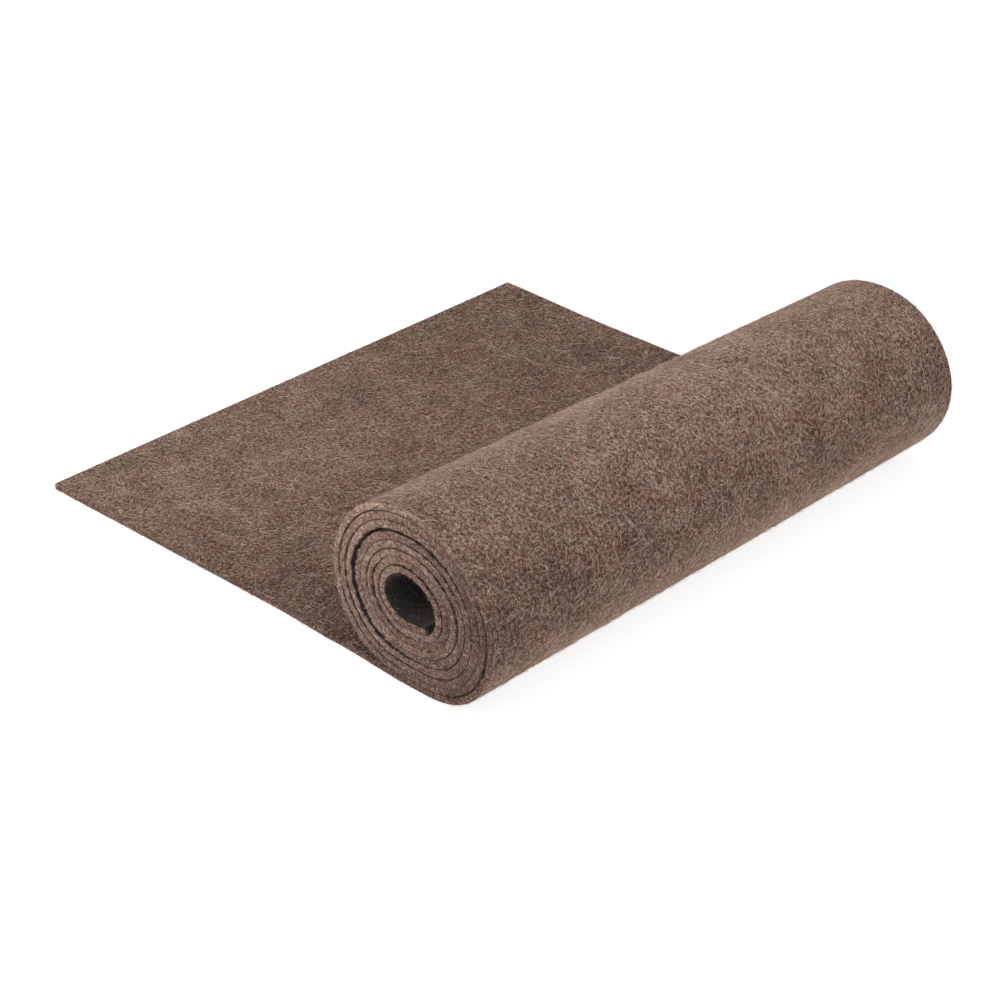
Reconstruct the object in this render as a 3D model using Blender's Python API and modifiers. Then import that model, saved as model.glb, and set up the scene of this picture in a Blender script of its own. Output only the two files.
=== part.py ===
"""A length of thick felt, wound into a roll from one end, with its other end left lying flat.

Metres, +Z up. The roll lies along Y and the flat end points to -X. The origin is on the surface that the
felt lies on, under the middle of the whole piece.
"""

import math
from collections import namedtuple

import bmesh
import bpy
from mathutils import Vector

MM = 0.001

# The cut length of felt
FELT_WIDTH = 300 * MM
FELT_THICKNESS = 3 * MM

# From the cut end to where the felt lifts off the surface, and how much longer the far side is
FLAT_LENGTH = 237.1 * MM
CUT_END_SLANT = 1.2 * MM

# The winding, seen from the near end: under, up the right side, over the top and down the left, inwards
WOUND_TURNS = 8.1
ROLL_MIDDLE_HEIGHT = 41.1 * MM

# One row for each turn, from the outside in. Each column is a place round the turn, with the distance in mm
# from the middle of the roll to the middle of the felt's thickness there. The last turn is only begun.
Turn = namedtuple("Turn", "under low_right right high_right over high_left left low_left")
TURNS = (
    Turn(39.6, 45.4, 44.6, 39.8, 39.8, 42.8, 43.8, 41.4),
    Turn(36.2, 41.3, 40.5, 36.4, 36.2, 38.7, 39.6, 36.8),
    Turn(32.8, 37.6, 36.4, 33.0, 32.4, 35.1, 36.2, 32.9),
    Turn(29.3, 33.5, 32.1, 29.0, 27.4, 29.9, 30.6, 27.9),
    Turn(25.6, 28.5, 28.2, 24.5, 23.7, 26.1, 27.1, 24.5),
    Turn(22.2, 24.2, 24.2, 20.7, 20.3, 22.5, 23.7, 21.1),
    Turn(18.8, 20.6, 20.4, 17.3, 16.8, 19.0, 20.3, 17.7),
    Turn(15.4, 16.9, 15.1, 12.6, 12.5, 15.1, 16.9, 14.2),
    Turn(11.9, 13.5, 11.7, 9.2, 9.1, 11.7, 13.5, 10.8),
)

# The far end is wound rounder and tighter: how much further out each place of a turn lies there, in mm, and
# how much lower the roll's middle is
FAR_CHANGE = Turn(-1.2, -4.0, -0.7, 1.5, -1.2, -3.6, -3.1, -2.4)
FAR_MIDDLE_DROP = 1.2 * MM

# One row for each place along the flat end, as a share of its length from the cut end: how far the near
# and the far edge lie from a straight cut, in mm along Y
EdgeSway = namedtuple("EdgeSway", "share near far")
FLAT_EDGES = (
    EdgeSway(0.0, 0.0, 0.9),
    EdgeSway(0.3, 0.2, -1.1),
    EdgeSway(0.63, 0.2, -0.7),
    EdgeSway(0.8, -1.2, -0.6),
    EdgeSway(1.0, -3.3, -0.6),
)

# How far each turn's ends stand in from those of the outermost turn, in mm along Y
TURN_END_STEPS = (0.0, 0.2, -0.2, 0.1, 0.3, 0.0, -0.2, 0.1, 0.3, 0.3)

# Faces along the felt and across it
FLAT_SPANS = 12
SPANS_PER_TURN = 40
WIDTH_SPANS = 4

FELT_COLOUR = (0.19, 0.125, 0.095, 1.0)
FELT_ROUGHNESS = 0.95


def remove_everything():
    """Leaves an empty scene."""
    for old in list(bpy.data.objects):
        bpy.data.objects.remove(old, do_unlink=True)


def smooth_between(values, place):
    """The value at a place counted in rows, on a smooth curve through evenly spaced values."""
    last = len(values) - 1
    row = min(int(place), last - 1)
    t = place - row
    start, end = values[row], values[row + 1]
    start_slope = (end - values[row - 1]) / 2 if row > 0 else 0.0
    end_slope = (values[row + 2] - start) / 2 if row + 2 <= last else end - start
    return (
        (1 + 2 * t) * (1 - t) ** 2 * start
        + t * (1 - t) ** 2 * start_slope
        + t * t * (3 - 2 * t) * end
        + t * t * (t - 1) * end_slope
    )


def eased_between(places, values, place):
    """The value at a place on a line that eases in and out of each given place."""
    for low, high, start, end in zip(places, places[1:], values, values[1:]):
        if place <= high:
            t = (place - low) / (high - low)
            return start + (end - start) * t * t * (3 - 2 * t)
    return values[-1]


PLACES_PER_TURN = len(Turn._fields)
NEAR_RADII = [radius for turn in TURNS for radius in turn]
FAR_RADII = [radius + FAR_CHANGE[place % PLACES_PER_TURN] for place, radius in enumerate(NEAR_RADII)]


def flat_point(share, across):
    """A point of the flat end's middle surface, by its share of the length and of the width."""
    reach = FLAT_LENGTH + CUT_END_SLANT * across
    shares = [row.share for row in FLAT_EDGES]
    near = eased_between(shares, [row.near for row in FLAT_EDGES], share) * MM
    far = FELT_WIDTH + eased_between(shares, [row.far for row in FLAT_EDGES], share) * MM
    return Vector((-reach * (1 - share), near + (far - near) * across, FELT_THICKNESS / 2))


def wound_point(turns, across):
    """A point of the roll's middle surface, by the turns wound so far and its share of the width."""
    angle = turns * math.tau
    near_radius = smooth_between(NEAR_RADII, turns * PLACES_PER_TURN) * MM
    far_radius = smooth_between(FAR_RADII, turns * PLACES_PER_TURN) * MM
    radius = near_radius + (far_radius - near_radius) * across
    height = ROLL_MIDDLE_HEIGHT - FAR_MIDDLE_DROP * across
    near = FLAT_EDGES[-1].near * MM
    far = FELT_WIDTH + FLAT_EDGES[-1].far * MM
    step = eased_between(range(len(TURN_END_STEPS)), TURN_END_STEPS, turns) * MM
    return Vector(
        (
            radius * math.sin(angle),
            near + (far - near) * across + step,
            max(height - radius * math.cos(angle), FELT_THICKNESS / 2),
        )
    )


def felt_point(station, across):
    """A point of the felt, counting stations from the cut end to the inner end."""
    if station <= FLAT_SPANS:
        return flat_point(station / FLAT_SPANS, across)
    return wound_point((station - FLAT_SPANS) / SPANS_PER_TURN, across)


def make_felt_material():
    """Brown felt, quite matt."""
    material = bpy.data.materials.new("brown_felt")
    material.use_nodes = True
    shader = material.node_tree.nodes["Principled BSDF"]
    shader.inputs["Base Color"].default_value = FELT_COLOUR
    shader.inputs["Roughness"].default_value = FELT_ROUGHNESS
    shader.inputs["Metallic"].default_value = 0.0
    return material


def make_felt_sheet(collection):
    """One sheet of felt: a flat grid that is laid along the flat end and the winding, then thickened."""
    stations = FLAT_SPANS + round(WOUND_TURNS * SPANS_PER_TURN)
    grid = bmesh.new()
    bmesh.ops.create_grid(grid, x_segments=stations, y_segments=WIDTH_SPANS, size=0.5)
    for vert in grid.verts:
        station = round((vert.co.x + 0.5) * stations)
        across = vert.co.y + 0.5
        vert.co = felt_point(station, across)
    mesh = bpy.data.meshes.new("felt_sheet")
    grid.to_mesh(mesh)
    grid.free()
    mesh.shade_smooth()
    sheet = bpy.data.objects.new("felt_sheet", mesh)
    collection.objects.link(sheet)
    sheet.data.materials.append(make_felt_material())
    wall = sheet.modifiers.new("Thickness", "SOLIDIFY")
    wall.thickness = FELT_THICKNESS
    wall.offset = 0.0
    wall.use_even_offset = True
    return sheet


def stand_on_origin(sheet):
    """Moves the felt so that the middle of its footprint is over the origin."""
    bpy.context.view_layer.update()
    thick = sheet.evaluated_get(bpy.context.evaluated_depsgraph_get())
    corners = [Vector(corner) for corner in thick.bound_box]
    low, high = corners[0], corners[6]
    middle = Vector(((low.x + high.x) / 2, (low.y + high.y) / 2, 0.0))
    for vert in sheet.data.vertices:
        vert.co -= middle


def main():
    remove_everything()
    collection = bpy.data.collections.new("felt_roll")
    bpy.context.scene.collection.children.link(collection)
    sheet = make_felt_sheet(collection)
    stand_on_origin(sheet)


main()
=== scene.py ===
import math

import bpy
import numpy as np
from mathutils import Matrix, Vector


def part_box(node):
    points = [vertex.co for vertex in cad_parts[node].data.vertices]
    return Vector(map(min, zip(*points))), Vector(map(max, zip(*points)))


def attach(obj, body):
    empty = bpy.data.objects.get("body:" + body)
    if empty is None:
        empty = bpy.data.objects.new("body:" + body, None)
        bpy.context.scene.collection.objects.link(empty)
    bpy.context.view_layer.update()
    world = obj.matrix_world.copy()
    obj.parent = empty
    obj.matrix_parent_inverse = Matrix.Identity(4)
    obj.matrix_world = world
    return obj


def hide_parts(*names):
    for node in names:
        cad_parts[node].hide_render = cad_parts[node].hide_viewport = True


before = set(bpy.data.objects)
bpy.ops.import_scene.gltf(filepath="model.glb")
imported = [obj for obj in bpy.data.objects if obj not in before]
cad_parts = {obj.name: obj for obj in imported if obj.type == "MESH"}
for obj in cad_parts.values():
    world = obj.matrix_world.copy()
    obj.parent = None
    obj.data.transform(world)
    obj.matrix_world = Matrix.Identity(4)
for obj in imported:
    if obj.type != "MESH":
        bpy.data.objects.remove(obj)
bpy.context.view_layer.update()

mm = 0.001


# camera, floor and light

camera = {
    "place": (0.8143, -0.8435, 0.6489),
    "tilt": 60.624,  # degrees from straight down
    "turn": 44.0,
    "lens": 104.42,
    "sensor": 36,
    "clip": (0.01, 50),
}
studio = {
    "floorSide": 12.0,
    "floorDrop": 0.2 * mm,  # keeps the floor and the felt's underside apart
    "floorColour": (0.30, 0.30, 0.30, 1),
    "floorRoughness": 0.9,
    "floorShine": 0.1,
    "glowColour": (1, 1, 1, 1),
    "floorGlow": 0.83,  # the floor shines by itself, so that it is nearly white and shadows stay faint
    "skyColour": (1.0, 1.0, 1.0, 1),
    "skyStrength": 0.48,
    "lampStrength": 2.75,
    "lampSpread": 110,  # degrees, for soft shadows
    "lampTurn": (40, -3, 0),
}


def addCamera():
    bpy.ops.object.camera_add(location=camera["place"])
    eye = bpy.context.object
    eye.rotation_euler = (math.radians(camera["tilt"]), 0, math.radians(camera["turn"]))
    eye.data.lens = camera["lens"]
    eye.data.sensor_width = camera["sensor"]
    eye.data.clip_start, eye.data.clip_end = camera["clip"]
    bpy.context.scene.camera = eye


def addStudio():
    bpy.ops.mesh.primitive_plane_add(size=studio["floorSide"], location=(0, 0, -studio["floorDrop"]))
    floor = bpy.context.object
    floor.name = "floor"
    paint = bpy.data.materials.new("floor_paint")
    paint.use_nodes = True
    shader = paint.node_tree.nodes["Principled BSDF"]
    shader.inputs["Base Color"].default_value = studio["floorColour"]
    shader.inputs["Roughness"].default_value = studio["floorRoughness"]
    shader.inputs["Specular IOR Level"].default_value = studio["floorShine"]
    shader.inputs["Emission Color"].default_value = studio["glowColour"]
    shader.inputs["Emission Strength"].default_value = studio["floorGlow"]
    floor.data.materials.append(paint)
    turn = [math.radians(angle) for angle in studio["lampTurn"]]
    bpy.ops.object.light_add(type="SUN", rotation=turn)
    lamp = bpy.context.object
    lamp.data.energy = studio["lampStrength"]
    lamp.data.angle = math.radians(studio["lampSpread"])
    sky = bpy.data.worlds.new("studio_sky")
    bpy.context.scene.world = sky
    sky.use_nodes = True
    back = sky.node_tree.nodes["Background"]
    back.inputs["Color"].default_value = studio["skyColour"]
    back.inputs["Strength"].default_value = studio["skyStrength"]
    bpy.context.scene.view_settings.view_transform = "Standard"


bpy.ops.object.select_all(action="DESELECT")
addCamera()
addStudio()
print("camera, floor and light done")


# how the felt lies: its flat end and its winding

felt = {
    "width": 300 * mm,
    "thickness": 3 * mm,
    "flatLength": 237.1 * mm,
    "cutSlant": 1.2 * mm,  # how much longer the far side of the flat end is
    "turns": 8.1,
    "middleHeight": 41.1 * mm,
    "farMiddleDrop": 1.2 * mm,
    "nearestEdge": -3.5 * mm,  # how far the near edge reaches past the near corner of the cut
    "flatPoints": 400,  # how finely the path is worked out
    "woundPoints": 8000,
}
half = felt["thickness"] / 2

# from the roll's middle to the middle of the felt, in mm, one row for each turn from the outside in
# under, low right, right, high right, over, high left, left, low left
turnRadii = np.array((
    (39.6, 45.4, 44.6, 39.8, 39.8, 42.8, 43.8, 41.4),
    (36.2, 41.3, 40.5, 36.4, 36.2, 38.7, 39.6, 36.8),
    (32.8, 37.6, 36.4, 33.0, 32.4, 35.1, 36.2, 32.9),
    (29.3, 33.5, 32.1, 29.0, 27.4, 29.9, 30.6, 27.9),
    (25.6, 28.5, 28.2, 24.5, 23.7, 26.1, 27.1, 24.5),
    (22.2, 24.2, 24.2, 20.7, 20.3, 22.5, 23.7, 21.1),
    (18.8, 20.6, 20.4, 17.3, 16.8, 19.0, 20.3, 17.7),
    (15.4, 16.9, 15.1, 12.6, 12.5, 15.1, 16.9, 14.2),
    (11.9, 13.5, 11.7, 9.2, 9.1, 11.7, 13.5, 10.8),
))
placesPerTurn = turnRadii.shape[1]
farChange = np.array((-1.2, -4.0, -0.7, 1.5, -1.2, -3.6, -3.1, -2.4))  # the far end is rounder and tighter

# share of the flat end from its cut, then how far the near and the far edge stray from straight, in mm
flatEdges = np.array((
    (0.0, 0.0, 0.9),
    (0.3, 0.2, -1.1),
    (0.63, 0.2, -0.7),
    (0.8, -1.2, -0.6),
    (1.0, -3.3, -0.6),
))
turnEndSteps = np.array((0.0, 0.2, -0.2, 0.1, 0.3, 0.0, -0.2, 0.1, 0.3, 0.3))  # mm, how far each turn stands in


def smoothBetween(values, place):
    # on a smooth curve through evenly spaced values
    last = len(values) - 1
    row = np.minimum(place.astype(int), last - 1)
    t = place - row
    start, end = values[row], values[row + 1]
    before, after = values[np.maximum(row - 1, 0)], values[np.minimum(row + 2, last)]
    startSlope = np.where(row > 0, (end - before) / 2, 0.0)
    endSlope = np.where(row + 2 <= last, (after - start) / 2, end - start)
    return (
        (1 + 2 * t) * (1 - t) ** 2 * start
        + t * (1 - t) ** 2 * startSlope
        + t * t * (3 - 2 * t) * end
        + t * t * (t - 1) * endSlope
    )


def easedBetween(places, values, place):
    # easing in and out of each given place
    row = np.clip(np.searchsorted(places, place) - 1, 0, len(places) - 2)
    t = np.clip((place - places[row]) / (places[row + 1] - places[row]), 0, 1)
    return values[row] + (values[row + 1] - values[row]) * t * t * (3 - 2 * t)


def unit(vectors):
    return vectors / np.linalg.norm(vectors, axis=-1, keepdims=True)


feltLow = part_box("felt_sheet")[0]
feltShift = np.array((
    feltLow[0] + felt["flatLength"] + felt["cutSlant"],
    feltLow[1] - felt["nearestEdge"],
    0.0,
))


def edgeLine(way, far):
    # the near (0) or the far (1) edge; way runs from 0 to 1 along the flat end and then counts the turns
    share = np.clip(way, 0, 1)
    turns = np.clip(way - 1, 0, None)
    base = felt["width"] * far
    sway = flatEdges[:, 1 + far]
    reach = felt["flatLength"] + felt["cutSlant"] * far
    flat = np.stack((
        -reach * (1 - share),
        base + easedBetween(flatEdges[:, 0], sway, share) * mm,
        np.full_like(share, half),
    ), 1)
    radius = smoothBetween((turnRadii + farChange * far).ravel(), turns * placesPerTurn) * mm
    height = felt["middleHeight"] - felt["farMiddleDrop"] * far
    steps = easedBetween(np.arange(len(turnEndSteps), dtype=float), turnEndSteps, turns)
    wound = np.stack((
        radius * np.sin(turns * math.tau),
        base + (sway[-1] + steps) * mm,
        np.maximum(height - radius * np.cos(turns * math.tau), half),
    ), 1)
    return np.where(way[:, None] <= 1, flat, wound) + feltShift


def makePath():
    wound = 1 + np.linspace(0, felt["turns"], felt["woundPoints"])
    way = np.concatenate((np.linspace(0, 1, felt["flatPoints"]), wound[1:]))
    near, far = edgeLine(way, 0), edgeLine(way, 1)
    nearSteps = np.linalg.norm(np.diff(near, axis=0), axis=1)
    farSteps = np.linalg.norm(np.diff(far, axis=0), axis=1)
    across = unit(far - near)
    return {
        "way": way,
        "along": np.concatenate(([0.0], np.cumsum((nearSteps + farSteps) / 2))),
        "near": near,
        "far": far,
        "nearUp": unit(np.cross(np.gradient(near, axis=0), across)),
        "farUp": unit(np.cross(np.gradient(far, axis=0), across)),
    }


path = makePath()
feltEnd = path["along"][-1]
print("felt path, mm along its middle:", round(feltEnd / mm, 1))


def alongAt(way):
    return np.interp(way, path["way"], path["along"])


def wayAt(along):
    return np.interp(along, path["along"], path["way"])


def fromPath(name, along):
    return np.stack([np.interp(along, path["along"], path[name][:, k]) for k in range(3)], -1)


def onFelt(along, across, up):
    # along the felt from its cut end, across from its near edge, and up from its middle surface, all in metres
    share = (across / felt["width"])[..., None]
    middle = fromPath("near", along) * (1 - share) + fromPath("far", along) * share
    normal = unit(fromPath("nearUp", along) * (1 - share) + fromPath("farUp", along) * share)
    spot = middle + normal * up[..., None]
    spot[..., 2] = np.maximum(spot[..., 2], 0.0)
    return spot


# the felt cloth

cloth = {
    "flatSpans": 60,
    "outerSpans": 150,  # round the outermost turn
    "cornerRadius": 0.48 * mm,
    "cornerBends": (12, 40, 66, 90),  # degrees round the corners of the cut end and of the inner end
    "endRings": (1.1, 1.7, 2.6),  # mm in from the cut end and from the inner end
    "cornerRoom": 2.5,  # times the corner's radius, where no evenly spaced ring stands
    "edgeRows": (0.48, 0.80, 1.3, 2.4, 4.8, 9.0, 15.0),  # mm in from each long edge
    "middleRows": 17,
    "middleStart": 22,  # mm in from each long edge, where the evenly spaced rows begin
    "rimShares": (0.6, 1, 1, 1, 1, 0.6),  # how much each point down the cut edge looks like a cut
    "endRimShare": 0.8,
    "edgeReach": 3 * mm,  # how far in the rows give way to the rounded corners, and how fully
    "edgeGives": 1.5,
    "planCorner": 0.7 * mm,
    "lumpHeight": 0.04 * mm,
    "lumpWaves": (3, 26, 30 * mm, 70 * mm),
    "rimRoughness": 0.06 * mm,
    "rimWaves": (5, 30, 1.5 * mm, 7 * mm),
    "endDepth": 5 * mm,  # how far in from the ends the felt is swollen
    "capSpread": 0.3 * mm,  # gives the last faces of the two ends some room on the layout
}

# the gap inside each turn where it shows at the ends, in mm, in the same order as turnRadii
endGaps = np.array((
    (0.04, 1.05, 0.75, 0.25, 0.10, 0.45, 1.10, 1.30),
    (0.55, 0.16, 0.05, 0.05, 0.15, 0.20, 0.80, 0.70),
    (0.75, 0.50, 0.65, 1.75, 1.07, 1.20, 2.40, 2.10),
    (0.80, 0.35, 0.80, 1.10, 0.60, 0.10, 0.03, 0.08),
    (0.05, 0.15, 0.95, 0.85, 0.40, 0.40, 0.65, 0.90),
    (0.60, 0.05, 0.05, 0.04, 0.05, 0.22, 1.60, 1.05),
    (0.04, 0.10, 0.90, 1.30, 1.30, 0.35, 0.50, 0.38),
    (0.03, 0.03, 0.03, 0.03, 0.03, 0.03, 0.03, 0.03),
))
gapLook = {
    "uneven": 0.6,  # how much the gaps' widths waver along them, and between which shares
    "unevenRange": (0.05, 2.0),
    "innerWaves": (7, 16, 2.5 * mm, 8 * mm),
    "outerWaves": (8, 16, 2.5 * mm, 8 * mm),
    "narrowest": 0.02,  # mm
    "ease": 0.04,  # of a turn, where the gaps begin and end
    "openWidth": 0.95,  # mm, from here a gap gets the full painted shade
    "shadeStart": 0.04 * mm,  # in from the ends
    "shadeReach": 0.55 * mm,
    "closedShade": 0.10,
    "innerStart": 0.9 * mm,  # from here in, all that is wound in gets painted shade
    "innerReach": 0.6 * mm,
    "topFrom": 1.03,  # the way from which the felt's upper face and its underside are wound in
    "underFrom": 2.0,
}


def waves(row, x, y):
    # a gentle uneven surface between about -1 and 1; the row has a seed, how many waves, the shortest, the longest
    seed, count, shortest, longest = row
    draw = np.random.default_rng(seed)
    total = np.zeros(np.broadcast(x, y).shape)
    for _ in range(count):
        length = shortest * (longest / shortest) ** draw.random()
        heading, start = draw.random() * math.tau, draw.random() * math.tau
        total += np.sin((x * math.cos(heading) + y * math.sin(heading)) * math.tau / length + start)
    return total / math.sqrt(count)


def ringWays():
    # the inner turns are smaller, and their rings stand closer
    ways = list(np.linspace(0, 1, cloth["flatSpans"] + 1)[1:])
    outer = turnRadii[0].mean()
    while ways[-1] < 1 + felt["turns"]:
        radius = turnRadii.ravel()[min(int((ways[-1] - 1) * placesPerTurn), turnRadii.size - 1)]
        ways.append(ways[-1] + 1 / (cloth["outerSpans"] * math.sqrt(radius / outer)))
    return np.array(ways[:-1])


def clothRings():
    # how far along each ring is, and how far its outline is drawn in there
    r = cloth["cornerRadius"]
    bend = np.radians(cloth["cornerBends"])
    start = r * (1 - np.cos(bend))
    drawnIn = r * (1 - np.sin(bend))
    inner = alongAt(ringWays())
    room = cloth["cornerRoom"] * r
    inner = inner[(inner > room) & (inner < feltEnd - room)]
    extra = np.array(cloth["endRings"]) * mm
    inner = np.unique(np.concatenate((extra, inner, feltEnd - extra)))
    along = np.concatenate((start, inner, feltEnd - start[::-1]))
    return along, np.concatenate((drawnIn, np.zeros_like(inner), drawnIn[::-1]))


def clothOutline():
    # the section across the felt: distance from the near edge, height, and how much of the cut edge it is
    rows = np.array(cloth["edgeRows"])
    width = felt["width"] / mm
    start = cloth["middleStart"]
    middleRows = np.linspace(start, width - start, cloth["middleRows"])
    topRows = np.concatenate((rows, middleRows, width - rows[::-1])) * mm
    r, corner = cloth["cornerRadius"], 1 - math.sqrt(0.5)
    rimHeights = np.array((half - r * corner, half - r, half / 4, -half / 4, r - half, r * corner - half))
    rimIn = np.array((r * corner, 0, 0, 0, 0, r * corner))
    noRim = np.zeros(len(topRows))
    across = np.concatenate((topRows, felt["width"] - rimIn, topRows[::-1], rimIn))
    up = np.concatenate((noRim + half, rimHeights, noRim - half, -rimHeights))
    rim = np.concatenate((noRim, cloth["rimShares"], noRim, cloth["rimShares"]))
    return across, up, rim, len(topRows)


def endSwell(u):
    # at the roll's ends: how much the inner and the outer side of the felt fluff up, and how open their gaps are
    turns = wayAt(u) - 1
    lastGap = felt["turns"] - 1
    radii = turnRadii.ravel()

    def spare(turn, row):
        inside = np.clip(turn, 0, lastGap)
        step = smoothBetween(radii, inside * placesPerTurn) - smoothBetween(radii, (inside + 1) * placesPerTurn)
        room = step - felt["thickness"] / mm
        uneven = 1 + gapLook["uneven"] * waves(row, u, 0)
        gap = np.maximum(smoothBetween(endGaps.ravel(), inside * placesPerTurn), gapLook["narrowest"])
        gap = gap * np.clip(uneven, *gapLook["unevenRange"])
        within = np.clip(turn / gapLook["ease"], 0, 1) * np.clip((lastGap - turn) / gapLook["ease"], 0, 1)
        opened = np.where(turn > lastGap, 1.0, np.clip(gap / gapLook["openWidth"], 0, 1))
        return (room - gap) / 2 * mm * within, opened

    innerSwell, innerOpen = spare(turns, gapLook["innerWaves"])
    outerSwell, outerOpen = spare(turns - 1, gapLook["outerWaves"])
    return innerSwell, outerSwell, innerOpen, outerOpen


# the layout that the cloth's colours are baked through, in mm; what shows gets nearly all of its room
bakeMap = {
    "size": (518, 405),
    "edgeBand": 2.5,  # this much of each face goes with the cut edges
    "edgeRun": 325,  # the edges are laid in rows of this length
    "edgeRow": 9,
    "edgeRows": 5,  # for each edge
    "edgesFrom": 303,
    "nearRowStart": 5.5,  # where the section's first point lies in a row of the near edge
    "farRowStart": 0.5,
    "margin": 1,
    "capRows": (394.5, 399.5),  # the cut end and the inner end
    # each region: where it starts, and how many times smaller than the cloth it is there
    "flatTop": ((1, 1), (1, 1)),
    "skin": ((241, 1), (1, 1)),
    "flatUnder": ((334, 303), (3, 3)),
    "woundTop": ((416, 303), (14, 6.5)),
    "woundUnder": ((416, 352), (12, 6.5)),
}


def bakePlaces(along, across, girth, topCount):
    # for each corner of each face along the cloth; girth is the way round the section, with the whole way last
    crease, wound, width = alongAt(1.0) / mm, alongAt(2.0) / mm, felt["width"] / mm
    girth = girth / mm
    sideways = np.append(across, across[0]) / mm
    ring, point = [grid.ravel() for grid in np.meshgrid(
        np.arange(len(along) - 1), np.arange(len(across)), indexing="ij")]
    x = (along / mm)[np.stack((ring, ring + 1, ring + 1, ring), 1)]
    corners = np.stack((point, point, point + 1, point + 1), 1)
    y, around = sideways[corners], girth[corners]
    middle, near = x.mean(1, keepdims=True), y.mean(1, keepdims=True) < width / 2
    inEdge = np.minimum(y, width - y).max(1, keepdims=True) < bakeMap["edgeBand"]
    isTop = (point < topCount)[:, None]

    run = np.floor(middle / bakeMap["edgeRun"])
    nearPlace = np.where(around > girth[-1] / 2, around - girth[-1], around) + bakeMap["nearRowStart"]
    bandRows = sum(inward < bakeMap["edgeBand"] for inward in cloth["edgeRows"])
    farPlace = around - girth[topCount - bandRows] + bakeMap["farRowStart"]
    row = run + np.where(near, 0, bakeMap["edgeRows"])
    edgeX = bakeMap["margin"] + x - run * bakeMap["edgeRun"]
    edgeY = bakeMap["edgesFrom"] + row * bakeMap["edgeRow"] + np.where(near, nearPlace, farPlace)

    def laid(region, start):
        (startX, startY), (smallerX, smallerY) = bakeMap[region]
        return startX + (x - start) / smallerX, startY + y / smallerY

    cases = [inEdge, isTop & (middle < crease), isTop, middle < crease, middle < wound]
    spots = [(edgeX, edgeY), laid("flatTop", 0), laid("woundTop", crease), laid("flatUnder", 0)]
    spots.append(laid("skin", crease))
    last = laid("woundUnder", wound)
    placed = [np.select(cases, [spot[axis] for spot in spots], last[axis]) for axis in (0, 1)]
    return np.stack(placed, -1).reshape(-1, 2)


def clothFaces(along, across, up, girth, topCount):
    # the faces, each corner's place on the felt's own layout, and the ends' places on the bake map
    rings, points, rimPoints = len(along), len(across), len(cloth["rimShares"])
    faces, layout, capPlaces = [], [], []
    for i in range(rings - 1):
        for j in range(points):
            k = (j + 1) % points
            faces.append((i * points + j, (i + 1) * points + j, (i + 1) * points + k, i * points + k))
            u0, u1, p0, p1 = along[i], along[i + 1], girth[j], girth[j + 1]
            layout += (u0, p0, u1, p0, u1, p1, u0, p1)

    def addCap(ring, side, face, flat):
        order = range(len(face)) if side > 0 else range(len(face) - 1, -1, -1)
        faces.append(tuple(ring * points + face[n] for n in order))
        for n in order:
            layout.extend(flat[n])
            row = bakeMap["capRows"][0 if ring == 0 else 1]
            capPlaces.append((bakeMap["margin"] + across[face[n]] / mm, (up[face[n]] + half) / mm + row))

    lastUnder = 2 * topCount + rimPoints - 1
    for ring, side in ((0, 1), (rings - 1, -1)):  # the cut end and the inner end, closed top to bottom
        here = along[ring]
        there = here - felt["thickness"] * side
        for j in range(topCount - 1):
            flat = ((here, girth[j]), (here, girth[j + 1]), (there, girth[j + 1]), (there, girth[j]))
            addCap(ring, side, (j, j + 1, lastUnder - j - 1, lastUnder - j), flat)
        for first in (topCount - 1, lastUnder):
            patch = [(first + n) % points for n in range(rimPoints + 2)]
            flat = [(here + (there - here) * n / (rimPoints + 1),
                     girth[first] + (cloth["capSpread"] if 0 < n <= rimPoints else 0)) for n in range(len(patch))]
            addCap(ring, side, patch, flat)
    return faces, layout, capPlaces


# broad changes of the cloth's tone, with painted light and shade on the roll's skin, on the flat end near the roll
# and on the cut edges; turns count from where the flat end meets the roll, and -1 is the cut end
toneAndPaintedLightLook = {
    "broad": 0.069,
    "broadWaves": (3638, 7, 180 * mm, 520 * mm),
    # painted light and shade round the roll's skin, lighter near its lower edge, its top and its upper silhouette,
    # darker on its right flank: middle and spread in turns, how much lighter, and how much more so at the far end
    "paintedSkinLight": (
        (0.14, 0.07, 0.18, 0.17),
        (0.60, 0.055, 0.11, -0.27),
        (0.47, 0.09, 0.025, 0.0),
        (0.27, 0.08, -0.045, 0.0),
    ),
    "paintedCreaseShade": 0.135,  # painted shade: the flat end is darker towards the roll, where the roll shades it
    "beforeRollFrom": -0.75,
    "beforeRollReach": 0.45,
    "flatFar": 0.045,  # it also darkens across, from the near to the far side
    "flatFarMiddle": 0.35,  # the share of the width where that changes nothing
    "atCut": 0.035,  # and it is darker at the cut, but for its near corner
    "atCutFrom": -0.55,
    "atCutReach": 0.45,
    "atCutAcross": 0.2,  # shares of the width
    "atCutAcrossReach": 0.4,
    "paintedRimLightHeight": 0.24,  # painted light: the cut edges are lighter towards the roll's top and its left, where more light falls on the roll's end
    "rimMiddle": 0.45,
    "rollHeight": 82 * mm,
    "paintedRimLightLeft": 0.18,
    "rimWound": 0.01,
    "rollHalf": 45 * mm,
}


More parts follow.
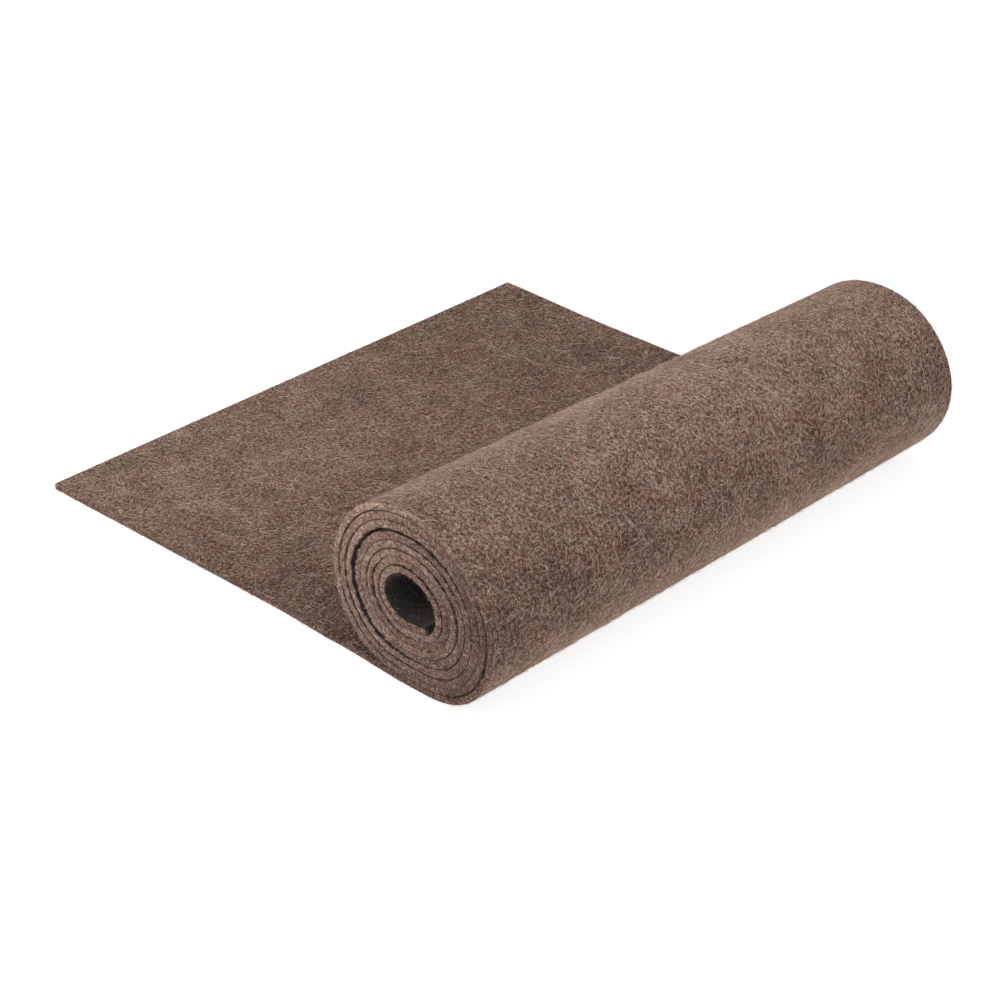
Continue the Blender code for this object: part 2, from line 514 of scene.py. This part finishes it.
def clothToneAndPaintedLight(u, a, up, rim, turns, places):
    look = toneAndPaintedLightLook
    top, isFlat, farther = up[None, :] > 0, turns < 0, a / felt["width"]
    toneAndPaintedLight = look["broad"] * waves(look["broadWaves"], u, a)
    skin = ~top & (turns > 0) & (turns < 1)
    # painted highlights and shade round the roll's skin
    for middle, spread, lighter, farMore in look["paintedSkinLight"]:
        toneAndPaintedLight += skin * lighter * (1 + farMore * farther) * np.exp(-((turns - middle) / spread) ** 2)
    # painted shade on the flat end near the roll
    nearRoll = np.clip((turns - look["beforeRollFrom"]) / look["beforeRollReach"], 0, 1)
    toneAndPaintedLight -= look["paintedCreaseShade"] * top * nearRoll * isFlat
    toneAndPaintedLight -= look["flatFar"] * top * isFlat * (farther - look["flatFarMiddle"])
    nearCut = np.clip((look["atCutFrom"] - turns) / look["atCutReach"], 0, 1)
    offCorner = np.clip((farther - look["atCutAcross"]) / look["atCutAcrossReach"], 0, 1)
    toneAndPaintedLight -= look["atCut"] * top * nearCut * offCorner
    # painted light on the cut edges, lighter higher up and further left
    toneAndPaintedLight += rim[None, :] * look["paintedRimLightHeight"] * (places[..., 2] / look["rollHeight"] - look["rimMiddle"])
    leftward = (feltShift[0] - places[..., 0]) / look["rollHalf"]
    return toneAndPaintedLight + rim[None, :] * (turns > 0) * (look["rimWound"] + look["paintedRimLightLeft"] * leftward)


def clothShade(u, up, inset, innerOpen, outerOpen):
    # painted shade: how much the felt's colour is darkened inside the gaps and the hole, where shade falls
    top = up[None, :] > 0
    woundIn = np.where(top, u > alongAt(gapLook["topFrom"]), u > alongAt(gapLook["underFrom"]))
    opened = np.where(top, innerOpen[:, None], outerOpen[:, None])
    closed = gapLook["closedShade"]
    shade = np.clip((inset[None, :] - gapLook["shadeStart"]) / gapLook["shadeReach"], 0, 1)
    inner = np.clip((inset[None, :] - gapLook["innerStart"]) / gapLook["innerReach"], 0, 1)
    return np.maximum(shade * (closed + (1 - closed) * opened), inner) * woundIn


def addValues(mesh, name, values):
    mesh.attributes.new(name, "FLOAT", "POINT").data.foreach_set("value", values.ravel().astype(np.float32))


def makeCloth():
    along, drawnIn = clothRings()
    across, up, rim, topCount = clothOutline()
    rings, points = len(along), len(across)
    width = felt["width"]
    inset = np.minimum(across, width - across)
    girth = np.concatenate(([0.0], np.cumsum(np.hypot(np.diff(across), np.diff(up)))))
    perimeter = girth[None, :]
    girth = np.append(girth, girth[-1] + math.hypot(across[0] - across[-1], up[0] - up[-1]))

    u = np.repeat(along[:, None], points, 1)
    a = np.repeat(across[None, :], rings, 0)
    z = np.repeat(up[None, :], rings, 0)
    q = drawnIn[:, None]
    toward = np.where(across < width / 2, 1.0, -1.0)[None, :]
    atEdge = np.clip(1 - inset / cloth["edgeReach"], 0, 1)[None, :]
    plan = cloth["planCorner"]
    fromCut = np.minimum(u, feltEnd - u)
    rounded = plan - np.sqrt(np.maximum(plan**2 - np.maximum(plan - fromCut, 0) ** 2, 0))
    a = a + toward * (q + rounded) * np.clip(atEdge * cloth["edgeGives"], 0, 1)
    z = z * (1 - q / half)

    lumps = waves(cloth["lumpWaves"], u, perimeter)
    z = z + np.sign(up)[None, :] * lumps * cloth["lumpHeight"] * (1 - rim)[None, :]
    inner, outer, innerOpen, outerOpen = endSwell(along)
    nearEnd = np.clip(1 - inset[None, :] / cloth["endDepth"], 0, 1)
    z = z + z / half * np.where(up[None, :] > 0, inner[:, None], outer[:, None]) * nearEnd
    rough = waves(cloth["rimWaves"], u, perimeter)
    a = a - toward * rough * cloth["rimRoughness"] * rim[None, :]

    places = onFelt(u, a, z)
    faces, layout, capPlaces = clothFaces(along, across, up, girth, topCount)
    baked = np.concatenate((bakePlaces(along, across, girth, topCount), capPlaces)) / bakeMap["size"]
    mesh = bpy.data.meshes.new("felt_cloth")
    mesh.from_pydata(places.reshape(-1, 3).tolist(), [], faces)
    mesh.uv_layers.new(name="feltPlace").uv.foreach_set("vector", np.array(layout, np.float32))
    mesh.uv_layers.new(name="OFBake").uv.foreach_set("vector", baked.ravel().astype(np.float32))
    mesh.validate()
    endRim = (drawnIn > 0)[:, None] * cloth["endRimShare"]
    addValues(mesh, "rim", np.maximum(np.repeat(rim[None, :], rings, 0), endRim))
    addValues(mesh, "toneAndPaintedLight", clothToneAndPaintedLight(u, a, up, rim, wayAt(u) - 1, places))
    addValues(mesh, "paintedGapShade", clothShade(u, up, inset, innerOpen, outerOpen))
    piece = bpy.data.objects.new("felt_cloth", mesh)
    bpy.context.scene.collection.objects.link(piece)
    bpy.ops.object.select_all(action="DESELECT")
    piece.select_set(True)
    bpy.context.view_layer.objects.active = piece
    bpy.ops.object.mode_set(mode="EDIT")
    bpy.ops.mesh.select_all(action="SELECT")
    bpy.ops.mesh.normals_make_consistent(inside=False)
    bpy.ops.object.mode_set(mode="OBJECT")
    bpy.ops.object.shade_smooth()
    return piece


# the felt's look

feltLook = {
    "deep": (0.026, 0.0125, 0.008, 1),
    "brown": (0.108, 0.0608, 0.0425, 1),
    "tan": (0.310, 0.197, 0.151, 1),
    "pale": (0.700, 0.522, 0.425, 1),
    "brownAt": 0.30,
    "tanAt": 0.62,
    # painted shade: the near-black colour mixed into the gaps and the hole, and how fully it shows
    "shade": (0.024, 0.0235, 0.023, 1),
    "shadeShows": 0.98,
    "rimTint": (0.230, 0.145, 0.120, 1),
    "rimTintShows": 0.10,
    # each row: heading in degrees, strand length and breadth in mm, where it starts, how much it shows
    "strands": (
        (8, 2.6, 0.33, 3.1, 1.00),
        (38, 3.4, 0.30, 17.7, 0.90),
        (67, 2.4, 0.35, 41.3, 1.00),
        (99, 3.1, 0.30, 8.9, 0.95),
        (128, 2.5, 0.33, 29.4, 1.00),
        (157, 3.8, 0.29, 53.8, 0.90),
        (23, 2.9, 0.36, 71.2, 0.80),
        (112, 2.7, 0.34, 66.5, 0.80),
    ),
    "strandEdge": (0.46, 0.08),  # from where a strand fades out to where it is whole
    "strandRarity": 2.2,
    "strandSlide": 0.37,  # how far across each row's strands start, against how far along
    # each noise: how fine it is, its detail and its roughness
    "sway": (0.13, 1.0, 0.5),
    "grain": (2.1, 3.0, 0.65),
    "clouds": (0.042, 3.0, 0.55),
    "patches": (0.16, 2.0, 0.5),
    "hues": (0.85, 2.0, 0.6),
    "depths": (1.4, 2.0, 0.6),
    "warmth": (0.055, 2.0, 0.6),  # broad warmer and cooler patches
    "hills": (0.30, 2.0, 0.5),
    "swayReach": 3.0,  # mm, how far the strands are bent aside
    # how much each changes the tone, from dark to pale
    "strandTone": 0.98,
    "grainTone": 1.45,
    "rimGrainTone": 0.10,
    "cloudTone": 0.30,
    "patchTone": 0.19,
    "toneDrop": 0.014,
    # how much each changes the hue, and how deep the colour is
    "hueMiddle": 0.501,
    "hueSpread": 0.20,
    "warmthHue": 0.012,
    "rimHue": 0.006,
    "depthMiddle": 1.02,
    "depthSpread": 1.8,
    "depthShows": 0.9,
    "rimDepthShows": 0.7,  # the cut edges show more colours
    "warmthDepth": 0.25,
    # the rare blue and orange fibres, as a change of the brown; each is picked above its share
    "specks": (((0.62, 0.95, 1.90, 1), 0.955), ((1.45, 1.02, 0.62, 1), 0.92)),
    "speckFine": 0.55,
    "speckEdge": (0.55, 0.15),
    "speckShows": 0.45,
    "hillHeight": 0.9,  # against the height of the strands
    "bumpStrength": 0.45,
    "bumpHeight": 0.25 * mm,
    "roughness": 0.95,
    "shine": 0.15,
    "sheen": 0.30,
    "sheenRoughness": 0.3,
    "sheenTint": (0.85, 0.60, 0.46, 1),
}


def addNode(tree, kind, links=None, **settings):
    # links: input name or number to an output socket or a value
    node = tree.nodes.new(kind)
    for name, value in settings.items():
        setattr(node, name, value)
    for name, value in (links or {}).items():
        if isinstance(value, bpy.types.NodeSocket):
            tree.links.new(value, node.inputs[name])
        else:
            node.inputs[name].default_value = value
    return node


def mathNode(tree, operation, first, second=0.0, clamp=False):
    return addNode(tree, "ShaderNodeMath", {0: first, 1: second}, operation=operation, use_clamp=clamp).outputs[0]


def mixNode(tree, share, first, second, blend="MIX"):
    links = {"Factor": share, 6: first, 7: second}
    return addNode(tree, "ShaderNodeMix", links, data_type="RGBA", blend_type=blend).outputs[2]


def rampNode(tree, share, stops):
    node = addNode(tree, "ShaderNodeValToRGB", {"Fac": share})
    ramp = node.color_ramp
    while len(ramp.elements) < len(stops):
        ramp.elements.new(0.5)
    for element, (place, colour) in zip(ramp.elements, stops):
        element.position = place
        element.color = colour
    return node.outputs["Color"]


def feltMaterial():
    look = feltLook
    material = bpy.data.materials.new("mottled_felt")
    material.use_nodes = True
    tree = material.node_tree
    shader = tree.nodes["Principled BSDF"]

    def vector(operation, links):
        return addNode(tree, "ShaderNodeVectorMath", links, operation=operation).outputs[0]

    def noise(where, name, output="Fac"):
        scale, detail, rough = look[name]
        links = {"Vector": where, "Scale": scale, "Detail": detail, "Roughness": rough}
        return addNode(tree, "ShaderNodeTexNoise", links, noise_dimensions="2D").outputs[output]

    def times(first, second):
        return mathNode(tree, "MULTIPLY", first, second)

    def plus(first, second):
        return mathNode(tree, "ADD", first, second)

    def minus(first, second):
        return mathNode(tree, "SUBTRACT", first, second)

    def attribute(name):
        return addNode(tree, "ShaderNodeAttribute", attribute_name=name).outputs["Fac"]

    def cells(where, scale):
        # how far from the cell's middle, and a chance drawn for each cell
        node = addNode(tree, "ShaderNodeTexVoronoi", {"Vector": where, "Scale": scale}, voronoi_dimensions="2D")
        chance = addNode(tree, "ShaderNodeSeparateColor", {"Color": node.outputs["Color"]}).outputs[0]
        return node.outputs["Distance"], chance

    def fade(distance, edge, most):
        return addNode(tree, "ShaderNodeMapRange", {
            "Value": distance, "From Min": edge[0], "From Max": edge[1], "To Min": 0.0, "To Max": most,
        }, interpolation_type="SMOOTHSTEP").outputs[0]

    place = addNode(tree, "ShaderNodeUVMap", uv_map="feltPlace").outputs[0]
    place = vector("SCALE", {0: place, "Scale": 1 / mm})
    sway = vector("SUBTRACT", {0: noise(place, "sway", "Color"), 1: (0.5, 0.5, 0.5)})
    bent = vector("ADD", {0: place, 1: vector("SCALE", {0: sway, "Scale": look["swayReach"]})})

    strands = None
    for heading, length, breadth, start, shows in look["strands"]:
        turned = addNode(tree, "ShaderNodeMapping", {
            "Vector": bent,
            "Location": (start, start * look["strandSlide"], 0),
            "Rotation": (0, 0, math.radians(heading)),
            "Scale": (length, breadth, 1),
        }, vector_type="TEXTURE").outputs[0]
        distance, chance = cells(turned, 1.0)
        body = fade(distance, look["strandEdge"], shows)
        lit = times(body, mathNode(tree, "POWER", chance, look["strandRarity"]))
        strands = lit if strands is None else mathNode(tree, "MAXIMUM", strands, lit)

    rim = attribute("rim")
    coarse = plus(times(rim, look["rimGrainTone"]), look["grainTone"])
    tone = times(strands, look["strandTone"])
    tone = plus(tone, times(minus(noise(bent, "grain"), 0.5), coarse))
    tone = plus(tone, times(minus(noise(place, "clouds"), 0.5), look["cloudTone"]))
    tone = plus(tone, times(minus(noise(place, "patches"), 0.5), look["patchTone"]))
    # the broad tone together with painted light and shade
    tone = plus(tone, attribute("toneAndPaintedLight"))
    tone = mathNode(tree, "SUBTRACT", tone, look["toneDrop"], clamp=True)
    colour = rampNode(tree, tone, (
        (0.0, look["deep"]), (look["brownAt"], look["brown"]), (look["tanAt"], look["tan"]), (1.0, look["pale"]),
    ))

    warmth = minus(noise(place, "warmth"), 0.5)
    hue = times(minus(noise(bent, "hues"), 0.5), look["hueSpread"])
    hue = minus(hue, times(warmth, look["warmthHue"]))
    hue = minus(hue, times(rim, look["rimHue"]))
    hue = plus(hue, look["hueMiddle"])
    colourful = plus(times(rim, look["rimDepthShows"]), look["depthShows"])
    depth = times(minus(noise(bent, "depths"), 0.5), look["depthSpread"])
    depth = plus(times(depth, colourful), look["depthMiddle"])
    depth = plus(depth, times(warmth, look["warmthDepth"]))
    colour = addNode(tree, "ShaderNodeHueSaturation", {"Hue": hue, "Saturation": depth, "Color": colour}).outputs[0]

    distance, pick = cells(bent, look["speckFine"])
    shape = fade(distance, look["speckEdge"], look["speckShows"])
    for tint, low in look["specks"]:
        chosen = times(mathNode(tree, "GREATER_THAN", pick, low), shape)
        colour = mixNode(tree, chosen, colour, mixNode(tree, 1.0, colour, tint, "MULTIPLY"))
        shape = times(shape, mathNode(tree, "LESS_THAN", pick, low))

    colour = mixNode(tree, times(rim, look["rimTintShows"]), colour, look["rimTint"])
    # painted shade in the gaps and the hole
    colour = mixNode(tree, times(attribute("paintedGapShade"), look["shadeShows"]), colour, look["shade"])
    tree.links.new(colour, shader.inputs["Base Color"])

    relief = plus(tone, times(noise(place, "hills"), look["hillHeight"]))
    bump = addNode(tree, "ShaderNodeBump", {
        "Height": relief, "Strength": look["bumpStrength"], "Distance": look["bumpHeight"],
    })
    tree.links.new(bump.outputs[0], shader.inputs["Normal"])
    shader.inputs["Roughness"].default_value = look["roughness"]
    shader.inputs["Specular IOR Level"].default_value = look["shine"]
    shader.inputs["Sheen Weight"].default_value = look["sheen"]
    shader.inputs["Sheen Roughness"].default_value = look["sheenRoughness"]
    shader.inputs["Sheen Tint"].default_value = look["sheenTint"]
    return material


feltCloth = makeCloth()
feltCloth.data.materials.append(feltMaterial())
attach(feltCloth, "root")
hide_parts("felt_sheet")
print("felt cloth done, triangles", sum(len(p.vertices) - 2 for p in feltCloth.data.polygons))


# loose hairs

hairLook = {
    "dark": (0.060, 0.038, 0.030, 1),
    "brown": (0.170, 0.112, 0.090, 1),
    "tan": (0.350, 0.248, 0.195, 1),
    "pale": (0.740, 0.610, 0.480, 1),
    "brownAt": 0.35,
    "tanAt": 0.7,
    "changeFine": 900.0,  # how the tone changes along a hair
    "changeTone": 0.25,
    "roughness": 0.8,
    "shine": 0.2,
    "taperAt": (0, 0.35, 0.7, 1),  # how thick a hair is along it
    "taper": (0, 1, 0.8, 0),
    "sides": (90, 210, 330),  # degrees round the hair
    "leanNudge": 1e-9,  # these two keep a direction from vanishing
    "sideNudge": 1e-7,
    "lowest": 0.01 * mm,  # above the floor
    "margin": 0.08,  # round each hair on the bake map, as a share of its square
}


def hairMaterial():
    look = hairLook
    material = bpy.data.materials.new("wool_hair")
    material.use_nodes = True
    tree = material.node_tree
    shader = tree.nodes["Principled BSDF"]
    tone = addNode(tree, "ShaderNodeAttribute", attribute_name="tone").outputs["Fac"]
    where = addNode(tree, "ShaderNodeTexCoord").outputs["Object"]
    links = {"Vector": where, "Scale": look["changeFine"], "Detail": 1.0}
    change = mathNode(tree, "SUBTRACT", addNode(tree, "ShaderNodeTexNoise", links).outputs["Fac"], 0.5)
    tone = mathNode(tree, "ADD", tone, mathNode(tree, "MULTIPLY", change, look["changeTone"]), True)
    colour = rampNode(tree, tone, (
        (0.0, look["dark"]), (look["brownAt"], look["brown"]), (look["tanAt"], look["tan"]), (1.0, look["pale"]),
    ))
    tree.links.new(colour, shader.inputs["Base Color"])
    shader.inputs["Roughness"].default_value = look["roughness"]
    shader.inputs["Specular IOR Level"].default_value = look["shine"]
    return material


def hairPattern(steps, perHair):
    # the triangles of one hair with three sides, and each corner's place in the hair's square on the bake map
    pattern, cell = [], []
    rows = steps - 1
    for n in range(3):
        m = (n + 1) % 3
        left, right, middle = n / 3, (n + 1) / 3, (2 * n + 1) / 6
        firstRow, lastRow = 1 / rows, (rows - 1) / rows
        pattern.append((0, 1 + n, 1 + m))
        cell += (middle, 0), (left, firstRow), (right, firstRow)
        pattern.append((perHair - 1, perHair - 4 + m, perHair - 4 + n))
        cell += (middle, 1), (right, lastRow), (left, lastRow)
        for k in range(steps - 3):
            low, high = 1 + 3 * k, 4 + 3 * k
            lowRow, highRow = (1 + k) / rows, (2 + k) / rows
            pattern.append((low + n, high + n, high + m))
            cell += (left, lowRow), (left, highRow), (right, highRow)
            pattern.append((low + n, high + m, low + m))
            cell += (left, lowRow), (right, highRow), (right, lowRow)
    return np.array(pattern), np.array(cell)


def hairMesh(name, along, across, up, radius, tone):
    # closed hairs, pointed at both ends; each row of along, across and up is one hair
    places = onFelt(along, across, up)
    count, steps = along.shape
    lean = unit(np.gradient(places, axis=1) + hairLook["leanNudge"])
    outward = unit(fromPath("nearUp", along))
    side = unit(np.cross(lean, outward) + np.array((hairLook["sideNudge"], 0, 0)))
    top = np.cross(side, lean)
    taper = np.interp(np.linspace(0, 1, steps), hairLook["taperAt"], hairLook["taper"])
    thick = radius[:, None] * taper[None, :]
    rings = []
    for turn in hairLook["sides"]:
        c, s = math.cos(math.radians(turn)), math.sin(math.radians(turn))
        rings.append(places + (side * c + top * s) * thick[..., None])
    rings = np.stack(rings, 2)[:, 1:-1]
    verts = np.concatenate((places[:, :1], rings.reshape(count, -1, 3), places[:, -1:]), 1)
    verts[..., 2] = np.maximum(verts[..., 2], hairLook["lowest"])
    perHair = verts.shape[1]
    pattern, cell = hairPattern(steps, perHair)
    faces = (pattern[None] + (np.arange(count) * perHair)[:, None, None]).reshape(-1, 3)
    mesh = bpy.data.meshes.new(name)
    mesh.vertices.add(count * perHair)
    mesh.vertices.foreach_set("co", verts.ravel())
    mesh.loops.add(faces.size)
    mesh.loops.foreach_set("vertex_index", faces.ravel())
    mesh.polygons.add(len(faces))
    mesh.polygons.foreach_set("loop_start", np.arange(len(faces)) * 3)
    mesh.update(calc_edges=True)
    # each hair has a square of its own on the bake map
    squares, margin = math.ceil(math.sqrt(count)), hairLook["margin"]
    corner = np.stack((np.arange(count) % squares, np.arange(count) // squares), 1)[:, None, :]
    baked = (corner + margin + (1 - 2 * margin) * cell[None, :, :]) / squares
    mesh.uv_layers.new(name="OFBake").uv.foreach_set("vector", baked.ravel().astype(np.float32))
    mesh.validate()
    addValues(mesh, "tone", np.repeat(tone, perHair))
    mesh.shade_smooth()
    mesh.materials.append(woolHair)
    piece = bpy.data.objects.new(name, mesh)
    bpy.context.scene.collection.objects.link(piece)
    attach(piece, "root")
    print(name, "done, triangles", len(faces))
    return piece


lyingLook = {
    "shortness": 1.7,  # how much commoner short hairs are
    "bend": 0.7,  # over the whole hair, in radians
    "kink": 0.25,  # at each step
    "endMargin": 0.2 * mm,  # how far in from the cut end and from the inner end they stay
    "overhang": 0.3 * mm,  # how far out past the long edges they may reach
    "flatness": 3,  # how much commoner low hairs are
    "sunk": 0.02 * mm,
    "riseStart": 0.25,  # of a hair's height, at its start
    "arcLeast": 0.6,  # of half a turn, how far a hair arches over
    "arcMore": 0.4,
    "paleShare": 0.35,  # some hairs stand out pale
    "paleTone": 0.36,
    "otherTone": -0.08,
    "toneSpread": 0.16,
}
endLook = {
    "shortness": 2,
    "bend": 1.1,
    "spread": 1.1,  # of half the thickness, where they grow, and how far from there they may reach
    "reach": 1.5,
    "standShare": 0.22,  # the others lie on the cut edge
    "standSlope": 0.6,
    "rooted": 0.1,
    "lieLow": 0.03 * mm,
    "lieHigh": 0.22 * mm,
    "flatness": 2,
    "farShare": 0.45,
    "endMargin": 0.1 * mm,
    "toneSpread": 0.27,
}

# each piece's part of the felt, from and to, in metres along it; lengths, lifts, radii and depths in mm
flatPart = (0.0, alongAt(1.0) - 2 * mm)  # up to just before the roll
skinPart = (alongAt(1.04), alongAt(1.97))
hairPieces = {
    "flat_hairs": {"seed": 11, "count": 14000, "part": flatPart, "side": 1, "length": (1.2, 5.0), "steps": 4,
                   "lift": (0.01, 0.30), "radius": (0.045, 0.085), "tone": 0.50},
    "roll_hairs": {"seed": 12, "count": 14000, "part": skinPart, "side": -1, "length": (1.2, 5.5), "steps": 4,
                   "lift": (0.01, 0.30), "radius": (0.045, 0.085), "tone": 0.50},
    "end_hairs": {"seed": 13, "count": 15800, "part": (0.0, feltEnd), "length": (0.8, 4.2), "steps": 4,
                  "radius": (0.035, 0.070), "tone": 0.46},
    "flat_long_hairs": {"seed": 14, "count": 4200, "part": flatPart, "side": 1, "length": (3.5, 11), "steps": 5,
                        "lift": (0.05, 0.6), "radius": (0.045, 0.080), "tone": 0.86},
    "roll_long_hairs": {"seed": 15, "count": 5200, "part": skinPart, "side": -1, "length": (3.5, 11), "steps": 5,
                        "lift": (0.05, 0.6), "radius": (0.045, 0.080), "tone": 0.86},
    # in the mouth of the hole, to this depth from both of the roll's ends
    "core_hairs": {"seed": 16, "count": 2000, "part": (alongAt(8.05), feltEnd), "side": 1, "length": (0.6, 2.4),
                   "steps": 4, "lift": (0.02, 0.9), "radius": (0.030, 0.055), "tone": 0.38, "depth": 26},
    # the light fringe along the roll's lower edge and its top: real fuzz, but its pale tone there is a painted
    # highlight of light catching it
    "low_fuzz": {"seed": 17, "count": 3200, "part": (alongAt(1.05), alongAt(1.15)), "side": -1,
                 "length": (1.2, 5.0), "steps": 4, "lift": (0.20, 1.0), "radius": (0.035, 0.060), "tone": 0.90},
    "top_fuzz": {"seed": 18, "count": 1600, "part": (alongAt(1.56), alongAt(1.67)), "side": -1,
                 "length": (1.2, 5.0), "steps": 4, "lift": (0.15, 0.7), "radius": (0.030, 0.055), "tone": 0.85},
}


def between(limits, share):
    # limits in mm
    return limits[0] * mm + (limits[1] * mm - limits[0] * mm) * share


def lyingHairs(name):
    # hairs that lie on one side of the felt, all over it or only near the roll's two ends
    hair, look = hairPieces[name], lyingLook
    draw = np.random.default_rng(hair["seed"])
    count, steps, width = hair["count"], hair["steps"], felt["width"]
    t = np.linspace(0, 1, steps)[None, :]
    reach = between(hair["length"], draw.random(count) ** look["shortness"])
    heading = draw.random(count) * math.tau
    bend = draw.normal(0, look["bend"], count)
    turn = heading[:, None] + bend[:, None] * (t - 0.5) + draw.normal(0, look["kink"], (count, steps))
    step = reach[:, None] / (steps - 1)
    alongStep, acrossStep = np.cumsum(np.cos(turn) * step, 1), np.cumsum(np.sin(turn) * step, 1)
    start, end = hair["part"]
    along = start + (end - start) * draw.random(count)[:, None] + alongStep - alongStep[:, -1:] / 2
    spot = draw.random(count)[:, None]
    if "depth" in hair:
        depth = hair["depth"] * mm / width
        spot = np.where(spot < 0.5, depth * spot * 2, 1 - depth * (2 - spot * 2))
    across = width * spot + acrossStep - acrossStep[:, -1:] / 2
    along = np.clip(along, look["endMargin"], feltEnd - look["endMargin"])
    across = np.clip(across, -look["overhang"], width + look["overhang"])
    height = between(hair["lift"], draw.random(count)[:, None] ** look["flatness"])
    arc = look["arcLeast"] + look["arcMore"] * draw.random(count)[:, None]
    rise = height * (look["riseStart"] + np.sin(t * math.pi * arc))
    up = hair["side"] * (half - look["sunk"] + rise)
    tone = hair["tone"] + np.where(draw.random(count) < look["paleShare"], look["paleTone"], look["otherTone"])
    tone = np.clip(tone + draw.normal(0, look["toneSpread"], count), 0, 1)
    thick = between(hair["radius"], draw.random(count))
    return hairMesh(name, along, across, up, thick, tone)


def endHairs(name):
    # hairs on the two long cut edges: most lie on the edge and across the gaps, the rest stand out of it
    hair, look = hairPieces[name], endLook
    draw = np.random.default_rng(hair["seed"])
    count, steps = hair["count"], hair["steps"]
    t = np.linspace(0, 1, steps)[None, :]
    reach = between(hair["length"], draw.random((count, 1)) ** look["shortness"])
    heading = draw.random((count, 1)) * math.tau + draw.normal(0, look["bend"], (count, 1)) * (t - 0.5)
    step = reach / (steps - 1)
    alongStep, upStep = np.cumsum(np.cos(heading) * step, 1), np.cumsum(np.sin(heading) * step, 1)
    start, end = hair["part"]
    along = start + (end - start) * draw.random((count, 1)) + alongStep - alongStep.mean(1, keepdims=True)
    root = half * look["spread"] * (2 * draw.random((count, 1)) - 1)
    up = np.clip(root + upStep - upStep.mean(1, keepdims=True), -half * look["reach"], half * look["reach"])
    standing = draw.random((count, 1)) < look["standShare"]
    lifted = look["lieHigh"] * draw.random((count, 1)) ** look["flatness"]
    lying = look["lieLow"] + lifted * np.sin(math.pi * t)
    out = np.where(standing, reach * (t * look["standSlope"] - look["rooted"]), lying)
    far = draw.random((count, 1)) < look["farShare"]
    across = np.where(far, felt["width"] + out, -out)
    along = np.clip(along, look["endMargin"], feltEnd - look["endMargin"])
    tone = np.clip(draw.normal(hair["tone"], look["toneSpread"], count), 0, 1)
    thick = between(hair["radius"], draw.random(count))
    return hairMesh(name, along, across, up, thick, tone)


woolHair = hairMaterial()
hairs = [endHairs(name) if name == "end_hairs" else lyingHairs(name) for name in hairPieces]
for piece in hairs:
    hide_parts("felt_sheet")
